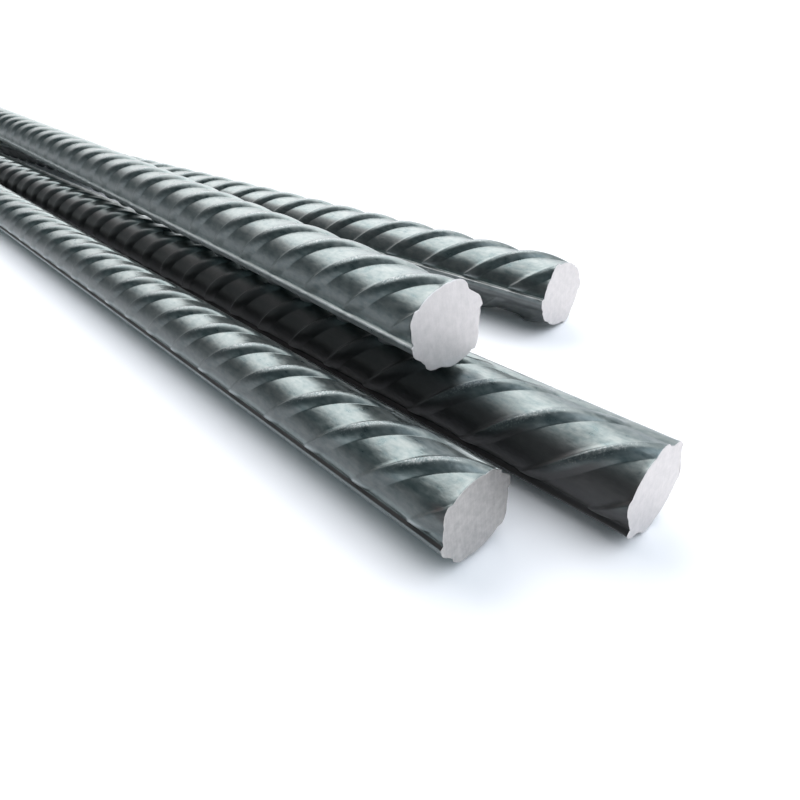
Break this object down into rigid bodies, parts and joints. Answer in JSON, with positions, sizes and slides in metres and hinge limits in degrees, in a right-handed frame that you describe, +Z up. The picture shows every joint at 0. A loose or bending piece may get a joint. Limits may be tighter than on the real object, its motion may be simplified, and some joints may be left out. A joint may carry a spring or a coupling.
{
  "type": "rebar bundle",
  "caption": "Loose bundle of straight ribbed steel reinforcing bars lying flat on the ground, with the upper bar resting across the lower ones; sawn ends, for casting into concrete.",
  "frame": {"origin": "on the ground under the middle of the bundle's box", "axes": "+X along the front left bar towards the sawn ends that stand forward, +Y level towards the back bar, +Z up"},
  "size_m": [1.1028, 0.1726, 0.071],
  "materials": {
    "rolled_steel": "satin"
  },
  "bodies": {
    "root": {"front_left_bar": "rolled_steel", "front_right_bar": "rolled_steel", "back_bar": "rolled_steel", "top_bar": "rolled_steel"}
  },
  "joints": []
}
